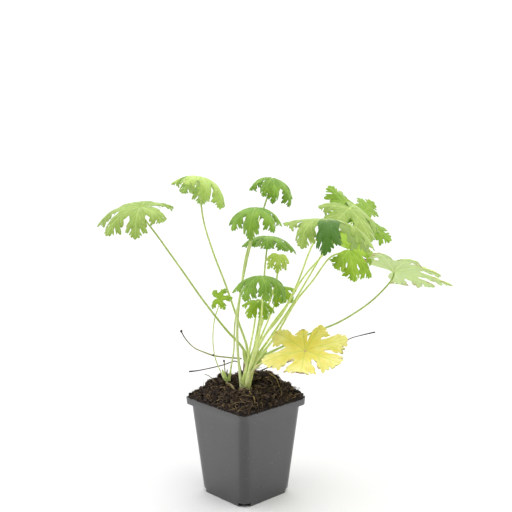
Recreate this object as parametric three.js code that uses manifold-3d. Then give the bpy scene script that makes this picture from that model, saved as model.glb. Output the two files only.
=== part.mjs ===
// A hardy geranium growing in a square plastic nursery pot.
// Millimetres, +Z up. The origin is the centre of the pot's underside, on its middle foot,
// and the pot's sides lie along X and Y. The plant is laid out in a frame of its own,
// turned about the same axis, so that its numbers read left to right and front to back.

import * as THREE from 'three';
import { mergeGeometries, mergeVertices } from 'three/addons/utils/BufferGeometryUtils.js';
import Module from 'manifold-3d';

const wasm = await Module();
wasm.setup();

// ---- driving dimensions ---------------------------------------------------------------

const gap = 0.3;                    // clearance between neighbouring solids
const plantTurn = -43;              // the plant's frame about Z, in degrees

const potHeight = 100;
const rimHalf = 45;                 // half the width over the rim
const rimBand = 6.5;                // height of the rim band
const wallHalfTop = 41.3;           // half the width just under the rim band
const wallHalfFoot = 32.8;          // half the width on the ground
const wallThickness = 1.2;
const rimCorner = 6.9;              // corner radius of the rim
const wallCorner = 8.5;             // corner radius of the wall
const footHalf = 14;                // half the width of the middle foot
const recessHeight = 1.5;           // how far the base panel clears the ground
const notchHeight = 4;              // drainage cut-outs at the four lower corners
const notchWidth = 12;
const notchReach = 36;              // from the axis to the inner face of a cut-out

const soilFloor = recessHeight + wallThickness + gap;
const soilRise = 23;                // height of the mound over its edge
const soilPeak = [0, 12];           // where the mound is highest, in the plant's frame
const soilEdge = 2;                 // height of the mound's edge over the rim's ledge
const crownHollow = 9;              // depth of the hollow that the crown sits in
const hollowSpread = 10;            // and how wide it is

const bladeThickness = 0.5;
const petioleRadius = 1.05;
const petioleLift = 0.9;            // from the end of a petiole to the middle of its blade

const colours = {
  pot: 0x5d5e60, soil: 0x2b221d, crown: 0xa9b56a, petiole: 0xb9cf78, pinkPetiole: 0xd9a48c,
  dryStalk: 0x8b8378, oldStem: 0x7a4a35, root: 0xb59b74,
  green: 0x78a03c, pale: 0xa5c35a, lime: 0xa0c337, yellow: 0xebe16e,
};

// ---- leaves: hub, lean (tilt and where it leans to), heading of the middle lobe, length
// of that lobe, rise at the hub, and how far the blade droops to the right, ahead, to the
// left and behind, as seen from the hub along the middle lobe; all angles in degrees --------

const leaves = [
  { hub: [-103, 0, 295], lean: [12, -95], heading: 172, length: 51, rise: 9, lobes: 7, spread: 0.95,
    droop: [55, 65, 80, 50], colour: 'pale' },
  { hub: [-45, 35, 322], lean: [16, 50], heading: 30, length: 45, rise: 0, lobes: 7,
    droop: [115, 75, 75, 60], colour: 'pale' },
  { hub: [27, 15, 322], lean: [14, -35], heading: 33, length: 38, rise: 0, lobes: 7,
    droop: [115, 70, 90, 110], colour: 'green' },
  { hub: [10, -20, 296], lean: [2, -75], heading: -95, length: 39, rise: 4, lobes: 7,
    droop: [85, 100, 90, 85], colour: 'green' },
  { hub: [23, 25, 262], lean: [4, 40], heading: 60, length: 36, rise: 5, lobes: 7,
    droop: [70, 60, 68, 85], colour: 'green' },
  { hub: [33, -12, 249], lean: [45, -80], heading: -90, length: 20, rise: 0, lobes: 5, spread: 0.6,
    droop: [90, 50, 90, 60], colour: 'lime' },
  { hub: [15, -45, 234], lean: [5, 90], heading: -75, length: 39, rise: 3, lobes: 7,
    droop: [75, 105, 80, 90], colour: 'green' },
  { hub: [34, -2, 213], lean: [20, -120], heading: -115, length: 21, rise: 0, lobes: 5,
    droop: [90, 70, 50, 50], colour: 'pale' },
  { hub: [12, -20, 204], lean: [18, -65], heading: -58, length: 23, rise: 0, lobes: 5,
    droop: [70, 65, 60, 75], colour: 'lime' },
  { hub: [-28, 0, 203], lean: [45, -100], heading: -5, length: 16, rise: 8, lobes: 5, spread: 0.95,
    droop: [60, 30, 30, 110], colour: 'green' },
  { hub: [74, -59, 289], lean: [18, 70], heading: -32, length: 58, rise: 5, lobes: 7, spread: 1.08,
    droop: [125, 65, 60, 30], colour: 'pale' },
  { hub: [101, -18, 255], lean: [60, -55], heading: 20, length: 39, rise: 10, lobes: 7, spread: 0.9,
    droop: [28, 45, 90, 40], colour: 'green' },
  { hub: [106, 24, 291], lean: [27, -57], heading: -57, length: 45, rise: 3, lobes: 5,
    droop: [35, 35, 75, 50], colour: 'pale' },
  { hub: [117, 52, 279], lean: [45, -50], heading: 76, length: 47, rise: 0, lobes: 5, spread: 1.2,
    droop: [10, 5, 5, 20], colour: 'lime' },
  { hub: [152, 22, 226], lean: [34, 72], heading: -48, length: 64, rise: 8, lobes: 7, spread: 0.75,
    droop: [30, 45, 5, 0], colour: 'pale' },
  { hub: [57, -45, 161], lean: [28, -97], heading: -99, length: 46, rise: 16, lobes: 7,
    droop: [30, 0, 5, 5], colour: 'yellow' },
];

// ---- petioles: the foot on its crown, then the points on the way up to the hub -----------

const petioles = [
  { crown: 'main', foot: [-5, 0],
    route: [[-4, -7, 145], [-16, -6, 168], [-41, -4, 200], [-63, -3, 232], [-84, -1, 262]] },
  { crown: 'main', foot: [-3.6, 2.4],
    route: [[1, 3, 153], [-6, 9, 173], [-20, 16, 213], [-33, 21, 247], [-43, 28, 280]] },
  { crown: 'side', foot: [2, 1.5],
    route: [[-15, 3, 130], [-12, 4, 148], [-11, 6, 174], [-6, 7, 203], [2, 10, 250], [17, 13, 288]] },
  { crown: 'main', foot: [-4, -2.3],
    route: [[-6, -11, 132], [-8, -12, 155], [-8, -14, 182], [-5, -15, 211], [1, -17, 243],
      [7, -19, 269]] },
  { crown: 'main', foot: [0, 4.5],
    route: [[8, 3, 147], [13, 8, 173], [17, 13, 198], [20, 19, 233]] },
  { crown: 'main', foot: [0, 0],
    route: [[9, -8, 155], [18, -9, 184], [26, -9, 208], [31, -9, 225]] },
  { crown: 'main', foot: [0, -4.6],
    route: [[6, -21, 145], [13, -30, 172], [16, -39, 204], [16, -43, 222]] },
  { crown: 'main', foot: [1.35, 2.2], route: [[12, -3, 154], [22, -2, 179], [30, -2, 198]] },
  { crown: 'main', foot: [-1.35, -2.3], route: [[4, -14, 153], [8, -19, 176]] },
  { crown: 'side', foot: [-2, -1], radius: 0.7,
    route: [[-25, 0, 126], [-31, 0, 142], [-33, 0, 162], [-31, 2, 182], [-27, 4, 195]] },
  { crown: 'main', foot: [1.35, -2.3],
    route: [[8, -16, 146], [18, -20, 168], [36, -26, 193], [50, -32, 224], [63, -39, 261]] },
  { crown: 'main', foot: [4, -2.3],
    route: [[12, -13, 140], [29, -17, 167], [50, -22, 205], [65, -25, 225], [82, -28, 249]] },
  { crown: 'main', foot: [4, 2.2],
    route: [[11, -4, 140], [25, -2, 163], [46, 2, 194], [61, 5, 219], [82, 10, 254]] },
  { crown: 'main', foot: [2.7, 4.5],
    route: [[11, 4, 146], [25, 12, 170], [44, 21, 194], [61, 30, 220], [90, 42, 250]] },
  { crown: 'main', foot: [5.4, 0],
    route: [[17, -5, 143], [40, -3, 155], [67, 0, 167], [91, 2, 176], [108, 4, 185],
      [128, 6, 199], [145, 14, 214]] },
  { crown: 'main', foot: [2.7, -4.6], colour: 'pinkPetiole',
    route: [[11, -23, 141], [25, -29, 147], [39, -35, 148], [52, -41, 152]] },
];

const crowns = {
  main: { centre: [0, -8, 110], radii: [7.5, 7, 5] },
  side: { centre: [-18.5, 1, 112.5], radii: [4.5, 4.5, 4] },
};

// ---- dead stalks, a stub, the old stem and the roots that lie on the soil ----------------

const stalks = [
  { name: 'dry_stalk_left', radius: 0.6, colour: 'dryStalk',
    route: [[-4, 5.6, 139], [-20, 5.6, 140.5], [-33, 7, 142], [-43, 9.5, 145], [-52, 10, 149],
      [-59, 11, 155.5], [-63.5, 11, 162], [-65.5, 11, 166.5]] },
  { name: 'dry_stalk_low', radius: 0.5, colour: 'dryStalk', seated: true,
    route: [[-4, 13, 117], [-6, 12.5, 130], [-10, 12, 134.5], [-15, 12, 133.5], [-21, 11, 131.5],
      [-29, 10, 129.5], [-39, 9, 127.5], [-49, 9, 125.5], [-58, 9, 124.5]] },
  { name: 'dry_stalk_right', radius: 0.5, colour: 'dryStalk', seated: true,
    route: [[12, 15, 118], [19, 15, 125], [33, 15, 129], [66, 15, 140], [87, 15, 147],
      [97, 15, 150.5], [103, 15, 154.5], [108, 15, 157.5], [120, 15, 161], [133, 15, 164]] },
  { name: 'old_stem', radius: 1.3, colour: 'oldStem', seated: true,
    route: [[-1, 5, 116], [-1.2, 4.5, 131], [-0.4, 5, 141.5]] },
  { name: 'stem_stub', radius: 0.8, colour: 'crown', seated: true,
    route: [[-20.5, 5, 116], [-21.2, 5, 127], [-22, 4, 137.5]] },
  { name: 'dry_straw', radius: 0.5, colour: 'dryStalk', seated: true,
    route: [[-30, 3, 114], [-37, 4, 121], [-42, 5, 123]] },
];

// Roots that come out of the crown and creep over the soil, seen from above.
const roots = [
  { name: 'root_front', radius: 0.8, route: [[1, -17], [3, -22], [5, -28], [8, -34], [9, -40]] },
  { name: 'root_right', radius: 0.6, route: [[24, 8], [30, 4], [34, -3], [36, -10], [35, -17]] },
];

// ---- helpers ----------------------------------------------------------------------------

const radians = THREE.MathUtils.degToRad;
const smooth = (t) => t * t * (3 - 2 * t);

// Shared vertices merged and empty triangles dropped, so that the mesh is one closed body.
function closed(geometry) {
  geometry.deleteAttribute('normal');
  geometry.deleteAttribute('uv');
  const merged = mergeVertices(geometry, 1e-4);
  const from = merged.index.array;
  const kept = [];
  for (let i = 0; i < from.length; i += 3) {
    const [a, b, c] = [from[i], from[i + 1], from[i + 2]];
    if (a !== b && b !== c && c !== a) kept.push(a, b, c);
  }
  merged.setIndex(kept);
  return merged;
}

function toManifold(geometry) {
  return new wasm.Manifold(new wasm.Mesh({
    numProp: 3,
    vertProperties: new Float32Array(geometry.attributes.position.array),
    triVerts: new Uint32Array(geometry.index.array),
  }));
}

function fromManifold(manifold) {
  const mesh = manifold.getMesh();
  const geometry = new THREE.BufferGeometry();
  geometry.setAttribute('position', new THREE.Float32BufferAttribute(mesh.vertProperties, 3));
  geometry.setIndex(Array.from(mesh.triVerts));
  return geometry;
}

// A closed ring of points on a square with round corners, counter-clockwise.
const arcSteps = 4;
function squareRing(half, corner, flatSteps) {
  const points = [];
  const inset = half - corner;
  for (let side = 0; side < 4; side++) {
    const quarter = side * Math.PI / 2;
    const turn = (x, y) => [x * Math.cos(quarter) - y * Math.sin(quarter),
      x * Math.sin(quarter) + y * Math.cos(quarter)];
    for (let i = 0; i <= arcSteps; i++) {
      const angle = (i / arcSteps) * Math.PI / 2;
      points.push(turn(inset + corner * Math.cos(angle), inset + corner * Math.sin(angle)));
    }
    for (let i = 1; i < flatSteps; i++) points.push(turn(inset - 2 * inset * i / flatSteps, half));
  }
  return points;
}

// A lathe whose rounds are rounded squares: each profile row is { half, corner, z }.
function squareLathe(profile, flatSteps) {
  const rings = profile.map(({ half, corner }) => squareRing(half, corner, flatSteps));
  const count = rings[0].length;
  const rows = profile.map(({ half, z }) => new THREE.Vector2(half, z));
  const geometry = new THREE.LatheGeometry(rows, count);
  const position = geometry.attributes.position;
  for (let i = 0; i <= count; i++) {
    for (let j = 0; j < rows.length; j++) {
      const [x, y] = rings[j][i % count];
      position.setXYZ(i * rows.length + j, x, y, rows[j].y);
    }
  }
  return geometry;
}

// A round rod along a smooth curve through the given points.
function rod(points, radius, sides, steps) {
  const section = [];
  for (let i = 0; i < sides; i++) {
    const angle = (i / sides) * 2 * Math.PI;
    section.push(new THREE.Vector2(radius * Math.cos(angle), radius * Math.sin(angle)));
  }
  const curve = new THREE.CatmullRomCurve3(points.map((p) => new THREE.Vector3(...p)));
  return closed(new THREE.ExtrudeGeometry(new THREE.Shape(section), {
    steps, bevelEnabled: false, extrudePath: curve,
  }));
}

function node(name, geometry, colour, roughness) {
  const material = new THREE.MeshStandardMaterial({
    color: colours[colour], roughness, metalness: 0,
  });
  const mesh = new THREE.Mesh(geometry, material);
  mesh.name = name;
  return mesh;
}

const twoDigits = (number) => String(number).padStart(2, '0');

// ---- pot --------------------------------------------------------------------------------

function potGeometry() {
  const ledge = potHeight - rimBand;
  const slope = (wallHalfTop - wallHalfFoot) / ledge;
  const panel = recessHeight + wallThickness;
  const inner = wallCorner - wallThickness;
  const shell = closed(squareLathe([
    { half: 0, corner: 0, z: 0 },
    { half: footHalf, corner: 4, z: 0 },
    { half: footHalf, corner: 4, z: recessHeight },
    { half: wallHalfFoot - 2, corner: wallCorner - 2, z: recessHeight },
    { half: wallHalfFoot - 2, corner: wallCorner - 2, z: 0 },
    { half: wallHalfFoot, corner: wallCorner, z: 0 },
    { half: wallHalfTop, corner: wallCorner, z: ledge },
    { half: rimHalf - 0.4, corner: rimCorner, z: ledge },
    { half: rimHalf, corner: rimCorner, z: potHeight },
    { half: rimHalf - wallThickness, corner: rimCorner - wallThickness, z: potHeight },
    { half: rimHalf - 0.4 - wallThickness, corner: rimCorner - wallThickness,
      z: ledge + wallThickness },
    { half: wallHalfTop - wallThickness, corner: inner, z: ledge + wallThickness },
    { half: wallHalfFoot - wallThickness + slope * panel, corner: inner, z: panel },
    { half: 0, corner: 0, z: panel },
  ], 1));
  const notches = [45, 135, 225, 315].map((angle) => {
    const box = new THREE.BoxGeometry(20, notchWidth, notchHeight + 1);
    box.translate(notchReach + 10, 0, (notchHeight - 1) / 2);
    box.rotateZ(radians(angle));
    return toManifold(closed(box));
  });
  return fromManifold(notches.reduce((pot, notch) => pot.subtract(notch), toManifold(shell)));
}

// ---- soil -------------------------------------------------------------------------------

// Height of the mound at a point of the pot's own frame; edge is 1 at the pot's wall and
// 0 at the mound's peak.
function moundHeight(x, y, edge) {
  const turn = radians(-plantTurn);
  const across = x * Math.cos(turn) - y * Math.sin(turn);
  const away = x * Math.sin(turn) + y * Math.cos(turn);
  const [crownX, crownY] = crowns.main.centre;
  const offCrown = Math.hypot(across - crownX, away - crownY) / hollowSpread;
  const hollow = Math.exp(-(offCrown ** 2) / 2);
  const lumps = Math.sin(0.31 * across + 1.3) * Math.cos(0.27 * away - 0.6)
    + 0.6 * Math.sin(0.52 * across - 0.4 * away);
  return soilRise * (1 - edge ** 2) - crownHollow * hollow + lumps * (1 - edge ** 4);
}

function soilGeometry() {
  const flatSteps = 4;
  const ledge = potHeight - rimBand + wallThickness;
  const wallIn = wallThickness + gap;
  const slope = (wallHalfTop - wallHalfFoot) / (potHeight - rimBand);
  const rim = rimHalf - 0.4 - wallIn;
  const edges = [0.86, 0.68, 0.5, 0.33, 0.17, 0];
  const profile = [
    { half: 0, corner: 0, z: soilFloor },
    { half: wallHalfFoot - wallIn + slope * soilFloor, corner: 7, z: soilFloor },
    { half: wallHalfTop - wallIn, corner: 7, z: ledge },
    { half: wallHalfTop - wallIn, corner: 7, z: ledge + gap },
    { half: rim, corner: rimCorner - wallIn, z: ledge + gap },
    { half: rim, corner: rimCorner - wallIn, z: ledge + soilEdge },
    ...edges.map((edge) => ({ half: rim * edge, corner: 5 * edge, z: ledge + soilEdge })),
  ];
  const geometry = squareLathe(profile, flatSteps);
  const position = geometry.attributes.position;
  const firstMound = profile.length - edges.length;
  const peak = new THREE.Vector2(...soilPeak).rotateAround(new THREE.Vector2(), radians(plantTurn));
  for (let i = 0; i < position.count; i++) {
    const row = i % profile.length;
    if (row < firstMound) continue;
    const edge = edges[row - firstMound];
    const x = position.getX(i) + peak.x * (1 - edge);
    const y = position.getY(i) + peak.y * (1 - edge);
    position.setXYZ(i, x, y, ledge + soilEdge + moundHeight(x, y, edge));
  }
  return closed(geometry);
}

// ---- crowns -----------------------------------------------------------------------------

function crownGeometry({ centre, radii }, grow) {
  const geometry = new THREE.SphereGeometry(1, 12, 8);
  geometry.rotateX(Math.PI / 2);
  geometry.scale(...radii.map((radius) => radius + grow));
  geometry.translate(...centre);
  return closed(geometry);
}

// Height of a crown's skin above a point given from the crown's centre.
function crownTop({ centre, radii }, [x, y]) {
  const inside = 1 - (x / radii[0]) ** 2 - (y / radii[1]) ** 2;
  return centre[2] + radii[2] * Math.sqrt(Math.max(inside, 0));
}

// ---- leaves -----------------------------------------------------------------------------

const lobeSets = {
  7: { angles: [-148, -100, -50, 0, 50, 100, 148], lengths: [0.72, 0.88, 0.97, 1, 0.97, 0.88, 0.72],
    halfAngle: 24.5 },
  5: { angles: [-122, -62, 0, 62, 122], lengths: [0.8, 0.95, 1, 0.95, 0.8], halfAngle: 31 },
};
const cleft = 0.42;                 // how far out the lobes are joined
const stalkCleft = 0.16;            // the cleft over the petiole is deeper
const ringSteps = [0, 0.28, 0.55, 0.8, 1];
const leastDroop = 0.5;             // stands in for a droop of 0, which has no radius

// Where a leaf's outline turns: the cleft before each lobe, its shoulders and its tip.
function outlineOf({ lobes, spread = 1 }) {
  const { lengths, halfAngle, ...set } = lobeSets[lobes];
  const angles = set.angles.map((angle) => angle * spread);
  return angles.flatMap((angle, i) => {
    const before = i === 0 ? 180 : (angles[i - 1] + angle) / 2;
    return [
      { angle: before, reach: i === 0 ? stalkCleft : cleft },
      { angle: angle - 0.5 * halfAngle, reach: 0.93 * lengths[i] },
      { angle, reach: lengths[i] },
      { angle: angle + 0.5 * halfAngle, reach: 0.93 * lengths[i] },
    ];
  });
}

// How far the blade droops in a direction, blended between its four sides.
function droopAt(angle, [right, ahead, left, behind]) {
  const turn = THREE.MathUtils.euclideanModulo(angle + 180, 360) - 180;
  const side = turn < 0 ? right : left;
  const quarters = Math.abs(turn) / 90;
  return quarters < 1
    ? ahead + (side - ahead) * smooth(quarters)
    : side + (behind - side) * smooth(quarters - 1);
}

// A basis with Z along the blade's upward normal and X along its middle lobe.
function leafBasis({ lean: [tilt, leanTo], heading }) {
  const normal = new THREE.Vector3(0, 0, 1)
    .applyAxisAngle(new THREE.Vector3(0, 1, 0), radians(tilt))
    .applyAxisAngle(new THREE.Vector3(0, 0, 1), radians(leanTo));
  const along = new THREE.Vector3(Math.cos(radians(heading)), Math.sin(radians(heading)), 0);
  along.addScaledVector(normal, -along.dot(normal)).normalize();
  const across = new THREE.Vector3().crossVectors(normal, along);
  return new THREE.Matrix4().makeBasis(along, across, normal);
}

// One face of a blade, half a thickness above its middle or below it: a dome whose
// meridians follow the outline, and whose last round is the sharp margin.
function bladeFace(leaf, side) {
  const outline = outlineOf(leaf);
  const rings = ringSteps.length - 1;
  const geometry = new THREE.SphereGeometry(
    1, outline.length, rings, 0, 2 * Math.PI, 0, Math.PI / 2);
  const position = geometry.attributes.position;
  const place = leafBasis(leaf).setPosition(...leaf.hub);
  const point = new THREE.Vector3();
  for (let iy = 0; iy <= rings; iy++) {
    for (let ix = 0; ix <= outline.length; ix++) {
      const { angle, reach } = outline[ix % outline.length];
      const out = ringSteps[iy] * reach;
      const bend = radians(droopAt(angle, leaf.droop) || leastDroop);
      const start = radians(-leaf.rise);
      const slope = start + bend * out;
      const reachOut = leaf.length * (Math.sin(slope) - Math.sin(start)) / bend;
      const drop = leaf.length * (Math.cos(slope) - Math.cos(start)) / bend;
      const half = iy === rings ? 0 : side * bladeThickness / 2;
      const lift = out === 0 ? 0 : Math.sin(slope) * half;
      const direction = radians(angle);
      point.set((reachOut + lift) * Math.cos(direction), (reachOut + lift) * Math.sin(direction),
        drop + (out === 0 ? 1 : Math.cos(slope)) * half);
      position.setXYZ(iy * (outline.length + 1) + ix, ...point.applyMatrix4(place).toArray());
    }
  }
  if (side < 0) geometry.index.array.reverse();
  return geometry;
}

// A thin lobed blade, its two faces parallel and joined at the margin.
function bladeGeometry(leaf) {
  return closed(mergeGeometries([bladeFace(leaf, 1), bladeFace(leaf, -1)]));
}

// A petiole from just over its crown to just under its leaf's hub.
function petioleGeometry(petiole, leaf) {
  const crown = crowns[petiole.crown];
  const normal = new THREE.Vector3().setFromMatrixColumn(leafBasis(leaf), 2);
  const radius = petiole.radius || petioleRadius;
  const under = (distance) => new THREE.Vector3(...leaf.hub).addScaledVector(normal, -distance);
  const foot = [crown.centre[0] + petiole.foot[0], crown.centre[1] + petiole.foot[1]];
  const points = [
    [...foot, crownTop(crown, petiole.foot) + 2 * gap],
    ...petiole.route,
    under(leaf.length > 20 ? 6 : 3).toArray(),
    under(petioleLift).toArray(),
  ];
  return rod(points, radius, 6, 4 + Math.round(1.4 * points.length));
}

// ---- the assembly -------------------------------------------------------------------------

const pot = node('pot', potGeometry(), 'pot', 0.55);

const soilInPotFrame = soilGeometry();
const soilBlock = toManifold(soilInPotFrame.applyMatrix4(
  new THREE.Matrix4().makeRotationZ(radians(-plantTurn))));
const pockets = Object.values(crowns).map((crown) => toManifold(crownGeometry(crown, gap)));
const soil = node('soil', fromManifold(
  pockets.reduce((block, pocket) => block.subtract(pocket), soilBlock)), 'soil', 0.95);

// The soil's height under a point of the plant's frame.
const downwards = new THREE.Vector3(0, 0, -1);
function soilUnder(x, y) {
  const ray = new THREE.Raycaster(new THREE.Vector3(x, y, 2 * potHeight), downwards);
  return ray.intersectObject(soil)[0].point.z;
}

const plant = new THREE.Group();
plant.rotation.z = radians(plantTurn);
plant.add(soil);
plant.add(node('crown_main', crownGeometry(crowns.main, 0), 'crown', 0.7));
plant.add(node('crown_side', crownGeometry(crowns.side, 0), 'crown', 0.7));

leaves.forEach((leaf, i) => {
  const petiole = petioles[i];
  const number = twoDigits(i + 1);
  plant.add(node(`petiole_${number}`, petioleGeometry(petiole, leaf), petiole.colour || 'petiole', 0.5));
  plant.add(node(`leaf_${number}`, bladeGeometry(leaf), leaf.colour, 0.6));
});

for (const { name, radius, colour, seated, route } of stalks) {
  const points = route.map((point) => [...point]);
  if (seated) points[0][2] = soilUnder(points[0][0], points[0][1]) + 0.5 * radius + gap;
  plant.add(node(name, rod(points, radius, 6, 3 * points.length), colour, 0.8));
}

for (const { name, radius, route } of roots) {
  const points = route.map(([x, y]) => [x, y, soilUnder(x, y) + radius + 2 * gap]);
  plant.add(node(name, rod(points, radius, 6, 2 * points.length), 'root', 0.8));
}

const geraniumInPot = new THREE.Group();
geraniumInPot.add(pot, plant);

export default geraniumInPot;
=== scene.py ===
from math import atan2, cos, hypot, pi, radians, sin, sqrt

import bpy
import numpy as np
from mathutils import Matrix, Vector, noise


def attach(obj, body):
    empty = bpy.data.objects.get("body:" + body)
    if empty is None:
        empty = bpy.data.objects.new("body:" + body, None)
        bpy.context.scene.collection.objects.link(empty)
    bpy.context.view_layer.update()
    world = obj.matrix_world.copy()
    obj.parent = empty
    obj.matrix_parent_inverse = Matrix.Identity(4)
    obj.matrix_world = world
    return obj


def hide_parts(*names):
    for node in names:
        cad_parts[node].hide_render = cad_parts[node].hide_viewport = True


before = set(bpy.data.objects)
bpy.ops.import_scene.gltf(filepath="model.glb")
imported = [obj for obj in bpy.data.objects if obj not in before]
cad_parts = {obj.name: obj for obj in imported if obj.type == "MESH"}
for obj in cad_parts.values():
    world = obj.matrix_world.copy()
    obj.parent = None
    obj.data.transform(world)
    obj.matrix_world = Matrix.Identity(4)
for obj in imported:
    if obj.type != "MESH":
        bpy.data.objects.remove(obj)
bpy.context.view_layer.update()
print("frame loaded")

mm = 0.001
plantTurn = radians(-43)       # the plant is laid out in a frame of its own, turned about Z


# small helpers

def deselectAll():
    if bpy.context.mode != "OBJECT":
        bpy.ops.object.mode_set(mode="OBJECT")
    bpy.ops.object.select_all(action="DESELECT")


def pick(*obs):
    deselectAll()
    for ob in obs:
        ob.select_set(True)
    bpy.context.view_layer.objects.active = obs[0]


def addModifier(ob, kind, **settings):
    mod = ob.modifiers.new(kind.lower(), kind)
    for key, value in settings.items():
        setattr(mod, key, value)
    return mod


def applyModifiers(ob):
    pick(ob)
    for mod in list(ob.modifiers):
        bpy.ops.object.modifier_apply(modifier=mod.name)


def editOps(ob, *steps):
    pick(ob)
    bpy.ops.object.mode_set(mode="EDIT")
    bpy.ops.mesh.select_all(action="SELECT")
    for step in steps:
        step()
    bpy.ops.object.mode_set(mode="OBJECT")


def joined(parts, name):
    pick(*parts)
    if len(parts) > 1:
        bpy.ops.object.join()
    ob = bpy.context.view_layer.objects.active
    ob.name = name
    ob.data.name = name
    return ob


def linked(ob):
    bpy.context.scene.collection.objects.link(ob)
    return ob


def copied(ob, name):
    copy = ob.copy()
    copy.data = ob.data.copy()
    copy.name = name
    return linked(copy)


def removed(ob):
    mesh = ob.data
    bpy.data.objects.remove(ob)
    if mesh.users == 0:
        bpy.data.meshes.remove(mesh)


def points(mesh):
    co = np.empty(len(mesh.vertices) * 3)
    mesh.vertices.foreach_get("co", co)
    return co.reshape(-1, 3)


def setPoints(mesh, co):
    mesh.vertices.foreach_set("co", np.ascontiguousarray(co, dtype=np.float32).ravel())
    mesh.update()


def setValue(mesh, name, values):
    layer = mesh.attributes.get(name) or mesh.attributes.new(name, "FLOAT", "POINT")
    layer.data.foreach_set("value", np.asarray(values, dtype=np.float32))


def getValue(mesh, name):
    values = np.empty(len(mesh.vertices))
    mesh.attributes[name].data.foreach_get("value", values)
    return values


def rounded(ob, angle=180):
    pick(ob)
    bpy.ops.object.shade_smooth_by_angle(angle=radians(angle))


def finished(ob, nodes):
    pick(ob)
    bpy.ops.object.transform_apply(location=True, rotation=True, scale=True)
    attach(ob, "root")
    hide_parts(*nodes)
    return ob


def turnedBy(angle, x, y):
    c, s = cos(angle), sin(angle)
    return x * c - y * s, x * s + y * c


def toPot(co):
    # from the plant's frame to the pot's, and from millimetres to metres
    co = np.asarray(co, dtype=float)
    x, y = turnedBy(plantTurn, co[..., 0], co[..., 1])
    return np.stack([x, y, co[..., 2]], -1) * mm


def ease(t):
    t = np.clip(t, 0, 1)
    return t * t * (3 - 2 * t)


# colours and node building

def paint(r, g, b):
    def linear(v):
        v /= 255
        return v / 12.92 if v <= 0.04045 else ((v + 0.055) / 1.055) ** 2.4
    return (linear(r), linear(g), linear(b), 1)


def newMaterial(name):
    mat = bpy.data.materials.new(name)
    mat.use_nodes = True
    tree = mat.node_tree
    return mat, tree, tree.nodes["Principled BSDF"]


def add(tree, kind, **settings):
    node = tree.nodes.new(kind)
    for key, value in settings.items():
        if hasattr(node, key):
            setattr(node, key, value)
        else:
            node.inputs[key.replace("_", " ")].default_value = value
    return node


def wire(source, target):
    # the source is another node's output, a plain value or a colour from 0 to 255
    if isinstance(source, bpy.types.NodeSocket):
        target.id_data.links.new(source, target)
    else:
        rgb = isinstance(source, tuple) and len(source) == 3
        target.default_value = paint(*source) if rgb else source


def mixColour(factor, a, b):
    node = add(factor.id_data, "ShaderNodeMix", data_type="RGBA")
    for socket, source in ((0, factor), (6, a), (7, b)):
        wire(source, node.inputs[socket])
    return node.outputs[2]


def maths(operation, a, b, clamp=False):
    node = add(a.id_data, "ShaderNodeMath", operation=operation, use_clamp=clamp)
    wire(a, node.inputs[0])
    wire(b, node.inputs[1])
    return node.outputs[0]


def ranged(value, low, high, newLow=0.0, newHigh=1.0):
    node = add(value.id_data, "ShaderNodeMapRange")
    for socket, source in zip(node.inputs, (value, low, high, newLow, newHigh)):
        wire(source, socket)
    return node.outputs[0]


def speckle(tree, scale, detail, place=None, **settings):
    # noise from 0 to 1, over the piece's own coordinates where no other place is given
    node = add(tree, "ShaderNodeTexNoise", Scale=scale, Detail=detail, **settings)
    wire(place or add(tree, "ShaderNodeTexCoord").outputs["Object"], node.inputs["Vector"])
    return node.outputs["Fac"]


def carried(tree, name):
    # a value that the mesh carries at its points
    return add(tree, "ShaderNodeAttribute", attribute_name=name).outputs["Fac"]


def surfaced(shader, tone, height, relief, patches, roughness, settings):
    # relief is a strength and a distance; roughness goes from one value to the other over the patches
    bump = add(shader.id_data, "ShaderNodeBump", Strength=relief[0], Distance=relief[1])
    wire(height, bump.inputs["Height"])
    wire(tone, shader.inputs["Base Color"])
    wire(bump.outputs["Normal"], shader.inputs["Normal"])
    wire(ranged(patches, 0.3, 0.7, *roughness), shader.inputs["Roughness"])
    for name, value in settings.items():
        shader.inputs[name].default_value = value


# rolled sheets and rods

def rolledSheet(name, rings):
    # rings is an array of closed rounds of points, each round joined to the next, the ends closed
    rows, around = rings.shape[:2]
    bpy.ops.mesh.primitive_grid_add(x_subdivisions=around, y_subdivisions=rows - 1, size=1)
    ob = bpy.context.object
    flat = points(ob.data)
    row = np.rint((flat[:, 1] + 0.5) * (rows - 1)).astype(int)
    column = np.rint((flat[:, 0] + 0.5) * around).astype(int) % around
    setPoints(ob.data, rings[row, column])
    setValue(ob.data, "along", row / (rows - 1))
    editOps(ob, lambda: bpy.ops.mesh.remove_doubles(threshold=1e-6),
            lambda: bpy.ops.mesh.select_non_manifold(extend=False),
            lambda: bpy.ops.mesh.edge_face_add() if ob.data.total_edge_sel else None)
    editOps(ob, lambda: bpy.ops.mesh.normals_make_consistent(inside=False))
    ob.name = name
    ob.data.name = name
    return ob


def smoothRoute(knots, spacing):
    # a centripetal curve through the knots, cut into steps of about the spacing
    def between(p, q, a, b, t):
        return p * (b - t) / (b - a) + q * (t - a) / (b - a)

    knots = np.array(knots, dtype=float)
    knots = np.vstack([2 * knots[0] - knots[1], knots, 2 * knots[-1] - knots[-2]])
    route = [knots[1]]
    for p0, p1, p2, p3 in zip(knots, knots[1:], knots[2:], knots[3:]):
        t1 = np.linalg.norm(p1 - p0) ** 0.5
        t2 = t1 + np.linalg.norm(p2 - p1) ** 0.5
        t3 = t2 + np.linalg.norm(p3 - p2) ** 0.5
        steps = max(2, round(np.linalg.norm(p2 - p1) / spacing))
        for t in np.linspace(t1, t2, steps + 1)[1:]:
            middle = between(p1, p2, t1, t2, t)
            before = between(between(p0, p1, 0, t1, t), middle, 0, t2, t)
            after = between(middle, between(p2, p3, t2, t3, t), t1, t3, t)
            route.append(between(before, after, t1, t2, t))
    return np.array(route)


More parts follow.
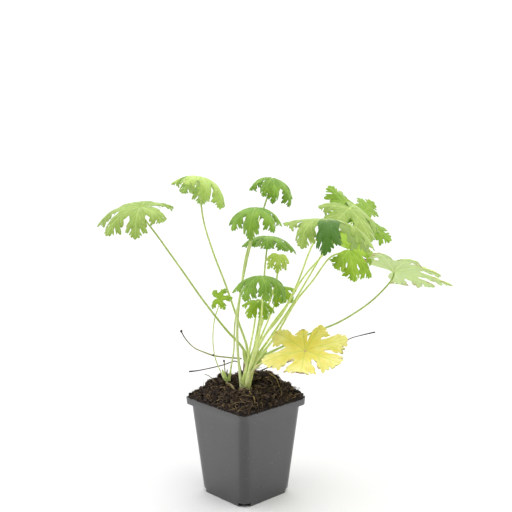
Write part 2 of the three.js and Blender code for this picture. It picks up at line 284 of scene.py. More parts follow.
def rod(name, knots, thickness, sides=9, spacing=3.0, flat=1.0, ribs=0, ribDepth=0.0):
    # a rod along the knots; thickness lists its radius from foot to tip, evenly spaced
    route = smoothRoute(knots, spacing)
    far = np.concatenate([[0], np.cumsum(np.linalg.norm(np.diff(route, axis=0), axis=1))])
    radii = np.interp(far / far[-1], np.linspace(0, 1, len(thickness)), thickness)
    tangent = np.gradient(route, axis=0)
    tangent /= np.linalg.norm(tangent, axis=1)[:, None]
    side = np.cross(tangent[0], (0.2, 1, 0.1))
    turns = np.arange(sides) * 2 * pi / sides
    ridge = 1 - ribDepth * np.abs(np.cos(turns * ribs / 2)) ** 3
    rings = []
    for centre, ahead, radius in zip(route, tangent, radii):
        side = side - ahead * (side @ ahead)
        side /= np.linalg.norm(side)
        other = np.cross(ahead, side)
        rings.append(centre + radius * (np.outer(np.cos(turns) * ridge, side)
                                        + np.outer(np.sin(turns) * ridge * flat, other)))
    ob = rolledSheet(name, toPot(np.array(rings)))
    rounded(ob, 60)
    return ob


# camera, light and floor

studio = {
    "eye": (-613.8, -658.2, 391.2),     # mm
    "pitch": 80.82, "heading": -43.67,  # degrees
    "lens": 64.46,
    "zenith": 1.8, "horizon": 1.25,
    "dim": 0.06, "dimFrom": (-0.68, -0.73, 0.0), "dimOver": (0.4, 0.85), "floor": 6,
    "backdrop": 1.1,
    "key": {"energy": 3.0, "size": 1.0, "at": (-0.2, -0.9, 1.5), "to": (0.05, 0.0, 0.15)},     # watts, m
    "paper": ((0.76, 0.76, 0.76, 1), (0.79, 0.79, 0.79, 1)),
}


def buildStudio():
    scene = bpy.context.scene
    cam = bpy.data.cameras.new("camera")
    cam.lens = studio["lens"]
    cam.sensor_width = 36
    cam.clip_start = 0.01
    camera = linked(bpy.data.objects.new("camera", cam))
    camera.location = Vector(studio["eye"]) * mm
    camera.rotation_euler = (radians(studio["pitch"]), 0, radians(studio["heading"]))
    scene.camera = camera

    world = bpy.data.worlds.new("air")
    scene.world = world
    world.use_nodes = True
    tree = world.node_tree
    background = tree.nodes["Background"]
    # white behind the plant; as light, brighter overhead and dimmer where the camera stands
    ray = add(tree, "ShaderNodeNewGeometry").outputs["Incoming"]
    parts = add(tree, "ShaderNodeSeparateXYZ")
    wire(ray, parts.inputs[0])
    height = ranged(maths("MULTIPLY", parts.outputs["Z"], -1.0), -0.1, 1.0)
    rise = ranged(height, 0.0, 1.0, studio["horizon"], studio["zenith"])
    facing = add(tree, "ShaderNodeVectorMath", operation="DOT_PRODUCT")
    wire(ray, facing.inputs[0])
    facing.inputs[1].default_value = [-v for v in studio["dimFrom"]]
    dimmed = ranged(facing.outputs["Value"], *studio["dimOver"], 1.0, studio["dim"])
    light = maths("MULTIPLY", rise, dimmed)
    path = add(tree, "ShaderNodeLightPath").outputs["Is Camera Ray"]
    strength = maths("MAXIMUM", light, maths("MULTIPLY", path, studio["backdrop"]))
    wire((1, 1, 1, 1), background.inputs["Color"])
    wire(strength, background.inputs["Strength"])

    key = studio["key"]
    disk = bpy.data.lights.new("softbox", "AREA")
    disk.shape, disk.size, disk.energy = "DISK", key["size"], key["energy"]
    lamp = linked(bpy.data.objects.new("softbox", disk))
    lamp.location = key["at"]
    lamp.rotation_euler = (Vector(key["to"]) - lamp.location).to_track_quat("-Z", "Y").to_euler()

    bpy.ops.mesh.primitive_plane_add(size=studio["floor"], location=(0, 0, 0))
    floor = bpy.context.object
    floor.name = "floor"
    mat, tree, shader = newMaterial("floorPaper")
    tint = mixColour(speckle(tree, 6.0, 3.0), *studio["paper"])
    for name, source in (("Base Color", tint), ("Roughness", 0.9), ("Specular IOR Level", 0.1)):
        wire(source, shader.inputs[name])
    floor.data.materials.append(mat)

    scene.view_settings.view_transform = "Standard"
    scene.view_settings.look = "None"


deselectAll()
buildStudio()
print("studio ready")


# leaves: one half of a lobe is shaped, mirrored, and copied round the hub; the flat leaf is
# then hung over its petiole

lobe = {
    "cleft": (0.36, 0.165),             # where two lobes part: along the lobe and out from its midrib
    "margin": [                         # a stretch's end, its tooth's tip, its root on the midrib, steps
        ((0.53, 0.180), None, 0.41, 4),
        ((0.680, 0.215), (0.640, 0.278), 0.47, 7),
        ((0.810, 0.235), (0.790, 0.328), 0.52, 8),
        ((0.740, 0.112), (0.850, 0.215), 0.61, 8),
        ((0.810, 0.112), None, 0.70, 3),
        ((0.885, 0.110), (0.900, 0.188), 0.80, 7),
        ((0.955, 0.062), (0.965, 0.130), 0.90, 6),
        ((1.01, 0.0), None, 1.01, 4),
    ],
    "blunt": [                          # the yellow leaf's broader margin
        ((0.55, 0.195), None, 0.41, 4),
        ((0.705, 0.262), (0.640, 0.278), 0.47, 7),
        ((0.810, 0.240), (0.800, 0.322), 0.52, 8),
        ((0.820, 0.170), (0.890, 0.225), 0.61, 8),
        ((0.880, 0.165), None, 0.72, 3),
        ((0.955, 0.100), (0.955, 0.180), 0.85, 7),
        ((1.0, 0.0), None, 1.0, 5),
    ],
    "across": [0, 0.035, 0.09, 0.18, 0.3, 0.42, 0.55, 0.68, 0.8, 0.91, 1],
    "veins": [                          # strength, then points
        (1.0, [(0, 0), (0.97, 0)]),
        (0.75, [(0.30, 0), (0.52, 0.095), (0.785, 0.29)]),
        (0.45, [(0.52, 0.095), (0.60, 0.19), (0.637, 0.25)]),
        (0.45, [(0.60, 0.15), (0.76, 0.18), (0.87, 0.205)]),
        (0.5, [(0.68, 0), (0.80, 0.075), (0.915, 0.165)]),
        (0.35, [(0.13, 0), (0.26, 0.070), (0.37, 0.138)]),
    ],
    "roundness": 0.45,                  # of a tooth
    "free": 0.2,                        # how far past the cleft a lobe has its own shape
    "atStalk": {"widest": 1.3, "from": 0.16, "over": 0.22, "narrower": 0.22},
    "thickness": 0.38,                  # mm
}
lobeSets = {
    7: {"angles": [-148, -100, -50, 0, 50, 100, 148],
        "lengths": [0.72, 0.88, 0.97, 1, 0.97, 0.88, 0.72]},
    5: {"angles": [-122, -62, 0, 62, 122], "lengths": [0.8, 0.95, 1, 0.95, 0.8]},
}


def toothCurve(a, tip, b, steps):
    # a round tooth from notch to notch through its tip
    a, tip, b = np.array(a), np.array(tip), np.array(b)
    lift = (8 * tip - a - b) / 6
    c1, c2 = lift - (b - a) * lobe["roundness"], lift + (b - a) * lobe["roundness"]
    t = np.linspace(0, 1, steps + 1)[1:, None]
    return a * (1 - t) ** 3 + 3 * c1 * t * (1 - t) ** 2 + 3 * c2 * t ** 2 * (1 - t) + b * t ** 3


def marginLine(margin):
    # the edge of half a lobe from hub to tip, and where on the midrib each point is served from
    cleft = np.array(lobe["cleft"])
    inner = np.array([0, 0.1, 0.22, 0.36, 0.5, 0.64, 0.77, 0.89, 1])
    edge = [cleft * t for t in inner]
    root = [0.30 * t for t in inner]
    last, lastRoot = cleft, 0.30
    for end, tip, served, steps in lobe[margin]:
        end = np.array(end)
        if tip is not None:
            curve = toothCurve(last, tip, end, steps)
        else:
            t = np.linspace(0, 1, steps + 1)[1:, None]
            curve = last + (end - last) * t
            if end[1] == 0:     # the lobe's own tip is round
                turn = t * pi / 2
                curve = last + (end - last) * np.hstack([np.sin(turn), 1 - np.cos(turn)])
        edge.extend(curve)
        root.extend(lastRoot + (served - lastRoot) * (i + 1) / steps for i in range(steps))
        last, lastRoot = end, served
    return np.array(edge), np.array(root)


uneven = {              # how far lobes stray
    "turn": 3.0,        # degrees
    "length": 0.04, "side": 0.05, "margin": 0.006,      # shares of a lobe's length
}


def veinMask(x, y):
    # how strongly a vein runs through each point, and how far the nearest one is
    mask, nearest = np.zeros_like(x), np.full_like(x, 9.0)
    for strength, line in lobe["veins"]:
        for (ax, ay), (bx, by) in zip(line, line[1:]):
            dx, dy = bx - ax, by - ay
            t = np.clip(((x - ax) * dx + (y - ay) * dy) / (dx * dx + dy * dy), 0, 1)
            off = np.hypot(x - ax - t * dx, y - ay - t * dy)
            width = 0.011 * (0.5 + 0.5 * strength)
            mask = np.maximum(mask, strength * np.exp(-(off / width) ** 2))
            nearest = np.minimum(nearest, off)
    return mask, nearest


def buildLobe(margin):
    edge, root = marginLine(margin)
    across = np.array(lobe["across"])
    bpy.ops.mesh.primitive_grid_add(x_subdivisions=len(across) - 1, y_subdivisions=len(edge) - 1, size=1)
    half = bpy.context.object
    flat = points(half.data)
    i = np.rint((flat[:, 1] + 0.5) * (len(edge) - 1)).astype(int)
    t = across[np.rint((flat[:, 0] + 0.5) * (len(across) - 1)).astype(int)]
    x = root[i] * (1 - t) + edge[i, 0] * t
    y = edge[i, 1] * t
    setPoints(half.data, np.stack([x, -y, np.zeros_like(x)], 1))
    setValue(half.data, "edge", t * ease((i - 7) / 3))      # none on the rows inside the cleft
    addModifier(half, "MIRROR", use_axis=(False, True, False), use_clip=True, merge_threshold=1e-6)
    applyModifiers(half)
    whole = points(half.data)
    mask, nearest = veinMask(whole[:, 0], np.abs(whole[:, 1]))
    setValue(half.data, "vein", mask)
    setValue(half.data, "offVein", nearest)
    half.name = "lobe"
    return half


def wobble(x, y, seed, size):
    # smooth irregularity, the same for the same seed
    rng = np.random.default_rng(seed)
    a = rng.uniform(0, 2 * pi, 4)
    k = rng.uniform(4, 9, (4, 2)) * rng.choice([-1, 1], (4, 2))
    return size * sum(np.sin(k[n, 0] * x + k[n, 1] * y + a[n]) for n in range(4)) / 2


def flatLeaf(base, leaf, seed):
    # copies of the lobe spread round the hub, joined where they meet inside the clefts
    count = leaf.get("lobes", 7)
    rng = np.random.default_rng(seed)
    evenly = lobeSets[count]["angles"]
    angles = np.array(evenly) * leaf.get("spread", 1.0) + rng.normal(0, uneven["turn"], count)
    lengths = np.array(lobeSets[count]["lengths"]) * (1 + rng.normal(0, uneven["length"], count))
    for i, share in leaf.get("short", {}).items():
        lengths[i] *= share
    gap = lobe["atStalk"]
    cleftReach = hypot(*lobe["cleft"])
    cleftAngle = atan2(lobe["cleft"][1], lobe["cleft"][0])
    ownWidth = radians(evenly[1] - evenly[0]) / 2 / cleftAngle
    parts = []
    for i, (angle, length) in enumerate(zip(angles, lengths)):
        part = copied(base, f"lobe{i}")
        co = points(part.data)
        x, y = co[:, 0], co[:, 1]
        free = ease((np.hypot(x, y) - cleftReach) / lobe["free"])
        lopsided = rng.normal(0, uneven["side"])
        narrow = 1 + free * (leaf.get("slim", 1.0) - 1)
        strayX = wobble(co[:, 0], co[:, 1], seed * 31 + i, uneven["margin"])
        strayY = wobble(co[:, 1], co[:, 0], seed * 57 + i, uneven["margin"])
        x = x + free * strayX
        y = y * narrow * (1 + free * lopsided * np.sign(y)) + free * strayY
        reach, bearing = np.hypot(x, y), np.arctan2(y, x)
        out = np.maximum(reach - cleftReach, 0)
        reach = np.minimum(reach, cleftReach) + out * (length - cleftReach) / (1 - cleftReach)
        left = radians((angles[(i + 1) % count] - angle) % 360 / 2)
        right = radians((angle - angles[i - 1]) % 360 / 2)
        wide = np.where(y >= 0, left, right) / cleftAngle
        atStalk = ((y > 0) & (i == count - 1)) | ((y < 0) & (i == 0))
        opened = ease((reach - gap["from"]) / gap["over"])
        nextToStalk = np.minimum(wide, ownWidth * gap["widest"]) * (1 - gap["narrower"] * opened)
        wide = np.where(atStalk, nextToStalk, wide * (1 - free) + ownWidth * free)
        bearing = radians(angle) + bearing * wide
        setPoints(part.data, np.stack([reach * np.cos(bearing), reach * np.sin(bearing), co[:, 2]], 1))
        setValue(part.data, "outLobe", co[:, 1] * narrow)
        # painted shade: the lobes named in the leaf's dark list get darker from near the hub outwards
        dark = leaf.get("dark", {}).get(i, 0)
        setValue(part.data, "shade", dark * ease((np.hypot(co[:, 0], co[:, 1]) - 0.1) / 0.3))
        scorched = leaf.get("scorch", {}).get(i, 2)
        setValue(part.data, "scorch", ease((co[:, 0] - scorched) / 0.05))
        parts.append(part)
    blade = joined(parts, "flatLeaf")
    editOps(blade, lambda: bpy.ops.mesh.remove_doubles(threshold=1e-5))
    flat = points(blade.data)
    setValue(blade.data, "reach", np.hypot(flat[:, 0], flat[:, 1]))
    corner = np.empty(len(blade.data.loops), dtype=np.int64)
    blade.data.loops.foreach_get("vertex_index", corner)
    uv = (flat[corner, :2] * 0.45 + 0.5).astype(np.float32).ravel()
    blade.data.uv_layers[0].data.foreach_set("uv", uv)
    return blade


leafFold = {
    "arch": 0.9,            # how far a lobe's sides fall from its midrib
    "quilt": 0.010,         # how far the blade swells between veins
    "groove": 0.007,        # depth of a vein
    "wave": 0.012,          # waviness of the margin
    "curl": 0.012,          # how far the teeth curl down
    "dimple": 0.02,         # depth of the blade's dip at the hub
    "swell": 0.045, "dip": 0.05,        # how far a vein's and the hub's hollows reach
    "straight": 0.009,      # the least bend
    "freeFrom": 0.3, "freeOver": 0.4,   # where the lobes arch on their own
}


def leafAxes(lean, heading):
    tilt, to = radians(lean[0]), radians(lean[1])
    up = np.array([sin(tilt) * cos(to), sin(tilt) * sin(to), cos(tilt)])
    along = np.array([cos(radians(heading)), sin(radians(heading)), 0.0])
    along -= up * (along @ up)
    along /= np.linalg.norm(along)
    return along, np.cross(up, along), up


def droopAt(bearing, leaf):
    right, ahead, left, behind = leaf["droop"]
    side = np.where(bearing < 0, right, left)
    quarters = np.abs(bearing) / (pi / 2)
    front = ahead + (side - ahead) * ease(quarters)
    back = side + (behind - side) * ease(quarters - 1)
    return np.where(quarters < 1, front, back)


def hungLeaf(flat, leaf, seed):
    mesh = flat.data
    co = points(mesh)
    reach, bearing = np.hypot(co[:, 0], co[:, 1]), np.arctan2(co[:, 1], co[:, 0])
    bend = np.radians(droopAt(bearing, leaf))
    bend = np.where(np.abs(bend) < leafFold["straight"], leafFold["straight"], bend)
    start = radians(-leaf["rise"])
    slope = start + bend * reach
    far = (np.sin(slope) - sin(start)) / bend
    drop = (np.cos(slope) - cos(start)) / bend
    edge, vein, off = getValue(mesh, "edge"), getValue(mesh, "vein"), getValue(mesh, "offVein")
    outLobe = getValue(mesh, "outLobe")
    free = ease((reach - leafFold["freeFrom"]) / leafFold["freeOver"])
    lift = leafFold["quilt"] * (1 - np.exp(-(off / leafFold["swell"]) ** 2)) * ease(reach / 0.12)
    lift = lift - leafFold["groove"] * vein * (1 - 0.4 * reach)
    lift = lift - leafFold["arch"] * outLobe ** 2 * free
    lift = lift - leafFold["curl"] * edge ** 5
    lift = lift + edge * free * wobble(co[:, 0] * 1.6, co[:, 1] * 1.6, seed, leafFold["wave"])
    lift = lift - leafFold["dimple"] * np.exp(-(reach / leafFold["dip"]) ** 2)
    far, drop = far + np.sin(slope) * lift, drop + np.cos(slope) * lift
    along, acrossAxis, up = leafAxes(leaf["lean"], leaf["heading"])
    size = leaf["length"]
    placed = (np.outer(far * np.cos(bearing), along) + np.outer(far * np.sin(bearing), acrossAxis)
              + np.outer(drop, up)) * size + np.array(leaf["hub"])
    setPoints(mesh, toPot(placed))
    return flat


# hub (mm), lean (how far and which way), heading, length, rise, and the rest by name; droop is to
# the right, ahead, to the left and behind, as seen from the hub along the middle lobe
# dark lists lobes that get painted shade, such as leaf 11's steep front lobe
leafRows = [
    ((-103, 0, 295), (12, -95), 172, 51, 9,
     {"spread": 0.95, "droop": (55, 65, 80, 50), "slim": 0.9}),
    ((-45, 35, 322), (16, 50), 30, 45, 0,
     {"droop": (115, 75, 75, 60), "skin": "soft"}),
    ((27, 15, 322), (14, -35), 33, 38, 0,
     {"droop": (115, 70, 90, 110), "tone": "green"}),
    ((10, -20, 296), (2, -75), -95, 39, 4,
     {"droop": (85, 100, 90, 85), "tone": "green"}),
    ((23, 25, 262), (4, 40), 60, 36, 5,
     {"droop": (70, 60, 68, 85), "tone": "green"}),
    ((33, -12, 249), (45, -80), -90, 20, 0,
     {"lobes": 5, "spread": 0.6, "droop": (90, 50, 90, 60), "slim": 0.65, "tone": "lime", "skin": "young"}),
    ((15, -45, 234), (5, 90), -75, 39, 3,
     {"droop": (75, 105, 80, 90), "tone": "green"}),
    ((34, -2, 213), (20, -120), -115, 21, 0,
     {"lobes": 5, "droop": (90, 70, 50, 50), "skin": "lime"}),
    ((12, -20, 204), (18, -65), -58, 23, 0,
     {"lobes": 5, "droop": (70, 65, 60, 75), "tone": "lime"}),
    ((-28, 0, 203), (45, -100), -5, 16, 8,
     {"lobes": 5, "spread": 0.95, "droop": (60, 30, 30, 110), "slim": 0.7, "tone": "green", "skin": "lime"}),
    ((74, -59, 289), (18, 70), -32, 58, 5,
     {"spread": 1.08, "droop": (125, 65, 60, 30), "dark": {2: 0.95, 5: 0.6}}),
    ((101, -18, 255), (60, -55), 20, 39, 10,
     {"spread": 0.9, "droop": (28, 45, 90, 40), "tone": "green", "skin": "lime"}),
    ((106, 24, 291), (27, -57), -57, 45, 3,
     {"lobes": 5, "droop": (35, 35, 75, 50)}),
    ((117, 52, 279), (45, -50), 76, 47, 0,
     {"lobes": 5, "spread": 1.2, "droop": (10, 5, 5, 20), "slim": 0.9, "tone": "lime",
      "dark": {0: 0.3, 1: 0.45, 2: 0.45, 3: 0.45, 4: 0.3}}),
    ((152, 22, 226), (34, 72), -48, 64, 8,
     {"spread": 0.75, "droop": (30, 45, 5, 0), "slim": 0.62, "scorch": {0: 0.6}, "skin": "faint"}),
    ((57, -45, 161), (28, -97), -103, 46, 16,
     {"spread": 1.08, "droop": (30, 0, 5, 5), "slim": 1.05, "short": {0: 0.76, 1: 0.88}, "edge": "blunt",
      "scorch": {0: 0.9, 3: 0.93}, "tone": "yellow"}),
]
leaves = [dict(zip(("hub", "lean", "heading", "length", "rise"), row), **row[-1]) for row in leafRows]

leafSkins = {               # deep, light, vein and underside colour, then the colour of painted shade
    "green": [(100, 142, 30), (134, 174, 48), (162, 194, 92), (148, 174, 94), (84, 122, 26)],
    "soft": [(162, 192, 78), (188, 212, 108), (204, 222, 140), (182, 204, 120), (110, 150, 50)],
    "pale": [(132, 160, 60), (163, 187, 88), (190, 210, 124), (170, 192, 116), (62, 112, 2)],
    "young": [(182, 206, 78), (210, 226, 114), (202, 222, 124), (188, 210, 116), (120, 160, 40)],
    "lime": [(132, 170, 22), (160, 192, 38), (180, 206, 84), (168, 194, 76), (100, 140, 24)],
    "faint": [(164, 196, 92), (198, 220, 120), (216, 230, 160), (200, 218, 148), (150, 182, 84)],
    "yellow": [(234, 216, 84), (242, 228, 114), (196, 208, 84), (228, 216, 120), (208, 212, 80)],
}
fading = {                  # what only some skins have
    "faint": {"scorch": (176, 124, 84)},
    "yellow": {"margin": (246, 236, 150), "scorch": (128, 88, 58)},
}
leafShader = {"Specular IOR Level": 0.32, "Sheen Weight": 0.1, "Subsurface Weight": 0.25,
              "Subsurface Radius": (0.5, 1.0, 0.2), "Subsurface Scale": 0.001}


def leafMaterial(skin, under=False):
    mat, tree, shader = newMaterial(skin + ("LeafUnder" if under else "LeafTop"))
    deep, light, vein, below, dark = leafSkins[skin]
    if under:
        deep = light = below
    old = fading.get(skin, {})
    patches = speckle(tree, 70.0, 4.0, Roughness=0.6)
    tone = mixColour(ranged(patches, 0.35, 0.68), deep, light)
    if "margin" in old:
        outer = maths("ADD", carried(tree, "reach"), ranged(patches, 0.3, 0.7, -0.25, 0.25))
        tone = mixColour(ranged(outer, 0.35, 1.0), tone, old["margin"])
    net = add(tree, "ShaderNodeTexVoronoi", feature="DISTANCE_TO_EDGE", Scale=34.0)
    wire(add(tree, "ShaderNodeTexCoord").outputs["UV"], net.inputs["Vector"])
    netMask = ranged(net.outputs["Distance"], 0.0, 0.12, 1.0, 0.0)
    shown = maths("MAXIMUM", maths("MULTIPLY", netMask, 0.28), carried(tree, "vein"))
    shown = maths("MULTIPLY", shown, 0.9 if under else 0.65, clamp=True)
    tone = mixColour(shown, tone, vein)
    # painted shade: the lobes in the shade mask are mixed towards the shaded colour
    tone = mixColour(carried(tree, "shade"), tone, dark)
    if "scorch" in old:
        rusty = maths("MULTIPLY", ranged(carried(tree, "edge"), 0.86, 1.0),
                      ranged(patches, 0.5, 0.62))
        brown = maths("MAXIMUM", carried(tree, "scorch"), rusty)
        tone = mixColour(brown, tone, old["scorch"])
    height = maths("SUBTRACT", maths("MULTIPLY", speckle(tree, 900.0, 2.0), 0.25), netMask)
    surfaced(shader, tone, height, (0.8 if under else 0.5, 0.0002), patches, (0.6, 0.48), leafShader)
    return mat


def buildLeaves():
    sides = {skin: (leafMaterial(skin), leafMaterial(skin, under=True)) for skin in leafSkins}
    bases = {margin: buildLobe(margin) for margin in ("margin", "blunt")}
    for i, leaf in enumerate(leaves):
        number = f"{i + 1:02d}"
        flat = flatLeaf(bases[leaf.get("edge", "margin")], leaf, 11 + i)
        blade = hungLeaf(flat, leaf, 101 + i)
        blade.name = f"blade_{number}"
        tone = leaf.get("tone", "pale")
        for side in sides[leaf.get("skin", tone)]:
            blade.data.materials.append(side)
        addModifier(blade, "SOLIDIFY", thickness=lobe["thickness"] * mm, offset=-1,
                    material_offset=1, use_even_offset=False)
        applyModifiers(blade)
        rounded(blade)
        finished(blade, [f"leaf_{number}"])
    for base in bases.values():
        removed(base)


buildLeaves()
print("leaves done")

# petioles: each runs from its crown, beside its neighbours, to just under its leaf's hub

crowns = {
    "main": {"centre": (0, -8, 110), "radii": (7.5, 7, 5)},
    "side": {"centre": (-18.5, 1, 112.5), "radii": (4.5, 4.5, 4)},
}
petioles = [
    {"foot": (-2.5, 0), "tone": "mid",
     "route": [(1.5, -7, 137), (-1.8, -6.5, 151), (-9.5, -6, 161.5), (-16, -6, 168), (-41, -4, 200),
               (-63, -3, 232), (-84, -1, 262)]},
    {"foot": (-3.6, 2.4), "tone": "soft",
     "route": [(1.5, 0, 138), (1, 3, 153), (-6, 9, 173), (-20, 16, 213), (-33, 21, 247), (-43, 28, 280)]},
    {"crown": "side", "foot": (2, 1.5), "tone": "soft", "radii": "slim",
     "route": [(-15, 3, 130), (-12, 4, 148), (-11, 6, 174), (-6, 7, 203), (2, 10, 250), (17, 13, 288)]},
    {"foot": (-4.6, -2.3), "tone": "soft", "radii": "even",
     "route": [(-6.2, -11, 132), (-8, -12, 155), (-8, -14, 182), (-5, -15, 211), (1, -17, 243),
               (7, -19, 269)]},
    {"foot": (0, 4.5), "tone": "soft",
     "route": [(8, 3, 147), (13, 8, 173), (17, 13, 198), (20, 19, 233)]},
    {"foot": (0, 0),
     "route": [(9, -8, 155), (18, -9, 184), (26, -9, 208), (31, -9, 225)]},
    {"foot": (0, -4.6),
     "route": [(6, -21, 145), (13, -30, 172), (16, -39, 204), (16, -43, 222)]},
    {"foot": (1.35, 2.2),
     "route": [(12, -3, 154), (22, -2, 179), (30, -2, 198)]},
    {"foot": (-1.35, -2.3),
     "route": [(4, -14, 153), (8, -19, 176)]},
    {"crown": "side", "foot": (-2, -1), "tone": "soft", "radii": "thin",
     "route": [(-25, 0, 126), (-31, 0, 142), (-33, 0, 162), (-31, 2, 182), (-27, 4, 195)]},
    {"foot": (1.35, -2.3),
     "route": [(8, -16, 146), (18, -20, 168), (36, -26, 193), (50, -32, 224), (63, -39, 261)]},
    {"foot": (2.8, -2.3),
     "route": [(4.4, -12, 126), (9.4, -13, 139), (29, -17, 167), (50, -22, 205), (65, -25, 225),
               (82, -28, 249)]},
    {"foot": (3, 2.2),
     "route": [(9.2, -4, 139), (25, -2, 163), (46, 2, 194), (61, 5, 219), (82, 10, 254)]},
    {"foot": (2.7, 4.5),
     "route": [(11, 4, 146), (25, 12, 170), (44, 21, 194), (61, 30, 220), (90, 42, 250)]},
    {"foot": (3.8, 0), "tone": "mid",
     "route": [(5, -6.5, 126), (10, -5.5, 138), (22, -4.5, 146.5), (40, -3, 155), (67, 0, 167),
               (91, 2, 176), (108, 4, 185), (128, 6, 199), (145, 14, 214)]},
    {"foot": (1.8, -4.6), "tone": "pink",
     "route": [(3.8, -15, 126), (11.5, -22.5, 139.5), (25, -29, 147), (39, -35, 148), (52, -41, 152)]},
]
petiole = {
    "radii": [1.8, 1.6, 1.4, 1.25, 1.1, 1.05, 1.0, 0.95, 0.95, 0.9, 1.0],     # mm, foot to leaf
    "even": [1.5, 1.4, 1.35, 1.25, 1.15, 1.1, 1.05, 1.0, 1.0],
    "slim": [1.0, 0.9, 0.85, 0.85, 0.85, 0.9, 0.9, 0.9, 1.0],
    "thin": [0.8, 0.65, 0.6, 0.6, 0.6, 0.6, 0.6, 0.6, 0.6],
    "underHub": 6, "underSmallHub": 3,          # where it turns to meet the blade squarely
    "smallLeaf": 20,
    "reach": 0.25,                              # from its end to the blade's middle
    "skin": 0.4,                                # how far a foot stands over its crown's skin
}
stalkTones = {              # foot, stem and speck, and where the stem's colour starts
    "mid": [(230, 239, 178), (170, 191, 100), (192, 210, 126)],
    "soft": [(232, 240, 182), (194, 211, 128), (212, 225, 152)],
    "pale": [(228, 239, 168), (210, 227, 134), (230, 240, 166)],
    "pink": [(206, 216, 140), (216, 158, 128), (226, 190, 150), 0.62],
}


def crownTop(crown, foot):
    rx, ry, rz = crown["radii"]
    inside = 1 - (foot[0] / rx) ** 2 - (foot[1] / ry) ** 2
    return crown["centre"][2] + rz * sqrt(max(inside, 0))


stalkShader = {"Specular IOR Level": 0.45, "Sheen Weight": 0.1, "Subsurface Weight": 0.35,
               "Subsurface Radius": (0.9, 1.0, 0.4), "Subsurface Scale": 0.0015}


def stalkMaterial(name, foot, stem, speck, start=0.0):
    # the foot's colour gives way to the stem's over a third of the length, from start on
    mat, tree, shader = newMaterial(name)
    tone = mixColour(ranged(carried(tree, "along"), start, start + 0.3), foot, stem)
    streaks = speckle(tree, 240.0, 3.0)
    tone = mixColour(ranged(streaks, 0.45, 0.7), tone, speck)
    ribs = add(tree, "ShaderNodeTexWave", wave_type="BANDS", bands_direction="X", Scale=2.6, Distortion=0.4)
    wire(add(tree, "ShaderNodeTexCoord").outputs["UV"], ribs.inputs["Vector"])
    height = maths("ADD", maths("MULTIPLY", ribs.outputs["Fac"], 0.5), speckle(tree, 1500.0, 2.0))
    surfaced(shader, tone, height, (0.35, 0.0002), streaks, (0.5, 0.38), stalkShader)
    return mat


def buildPetioles():
    skins = {name: stalkMaterial(f"{name}Stalk", *tones) for name, tones in stalkTones.items()}
    for i, (part, leaf) in enumerate(zip(petioles, leaves)):
        number = f"{i + 1:02d}"
        crown = crowns[part.get("crown", "main")]
        up = leafAxes(leaf["lean"], leaf["heading"])[2]
        hub = np.array(leaf["hub"], dtype=float)
        foot = (crown["centre"][0] + part["foot"][0], crown["centre"][1] + part["foot"][1],
                crownTop(crown, part["foot"]) + petiole["skin"])
        turn = petiole["underHub"] if leaf["length"] > petiole["smallLeaf"] else petiole["underSmallHub"]
        knots = [foot] + part["route"] + [hub - up * turn, hub - up * petiole["reach"]]
        radii = petiole[part.get("radii", "radii")]
        stalk = rod(f"stalk_{number}", knots, radii)
        tone = part.get("tone", "pale")
        stalk.data.materials.append(skins[tone])
        finished(stalk, [f"petiole_{number}"])


buildPetioles()
print("petioles done")


# the pot: rounded squares stacked up its outside and down its inside, then cut and bevelled

pot = {
    "height": 100, "rimHalf": 45, "rimBand": 6.5, "rimCorner": 6.9, "rimTaper": 0.4,   # mm
    "wallTop": 41.3, "wallFoot": 32.8, "wallCorner": 8.5, "thickness": 1.2,
    "footHalf": 14, "footCorner": 4, "recess": 1.5, "skirt": 2,
    "notchHeight": 4, "notchWidth": 12, "notchReach": 36, "notchDepth": 20, "edge": 0.35,
}
potLedge = pot["height"] - pot["rimBand"]


def squareRound(half, corner, arcSteps, flatSteps):
    # a round of points on a square with round corners
    inset = half - corner
    round_ = []
    for side in range(4):
        c, s = round(cos(side * pi / 2)), round(sin(side * pi / 2))
        arc = [(inset + corner * cos(a), inset + corner * sin(a))
               for a in np.linspace(0, pi / 2, arcSteps + 1)]
        flat = [(inset - 2 * inset * k / flatSteps, half) for k in range(1, flatSteps)]
        round_ += [(x * c - y * s, x * s + y * c) for x, y in arc + flat]
    return np.array(round_)


potSkin = {"wall": (29, 28, 32), "cloud": (36, 35, 40), "dust": (120, 114, 106), "soil": (38, 33, 29)}
potShader = {"IOR": 1.55, "Coat Weight": 0.9, "Coat Roughness": 0.25}


def potMaterial():
    mat, tree, shader = newMaterial("anthracitePlastic")
    place = add(tree, "ShaderNodeTexCoord").outputs["Object"]
    stretch = add(tree, "ShaderNodeMapping", Scale=(1, 1, 0.25))
    wire(place, stretch.inputs["Vector"])
    cloud = speckle(tree, 28.0, 5.0, stretch.outputs["Vector"])
    tone = mixColour(ranged(cloud, 0.3, 0.7), potSkin["wall"], potSkin["cloud"])
    dust = ranged(speckle(tree, 420.0, 3.0), 0.66, 0.78, 0.0, 0.35)
    tone = mixColour(dust, tone, potSkin["dust"])
    # dried soil on the rim over the corner that points forward, in metres
    spot = add(tree, "ShaderNodeSeparateXYZ")
    wire(place, spot.inputs[0])
    forward = maths("ADD", spot.outputs["X"], spot.outputs["Y"])
    smear = maths("MULTIPLY", ranged(forward, -0.0815, -0.0835),
                  ranged(spot.outputs["Z"], 0.091, 0.0935))
    smear = maths("MULTIPLY", smear, ranged(speckle(tree, 700.0, 4.0), 0.42, 0.56))
    tone = mixColour(smear, tone, potSkin["soil"])
    surfaced(shader, tone, speckle(tree, 1600.0, 2.0), (0.12, 0.0002), cloud, (0.36, 0.28), potShader)
    return mat


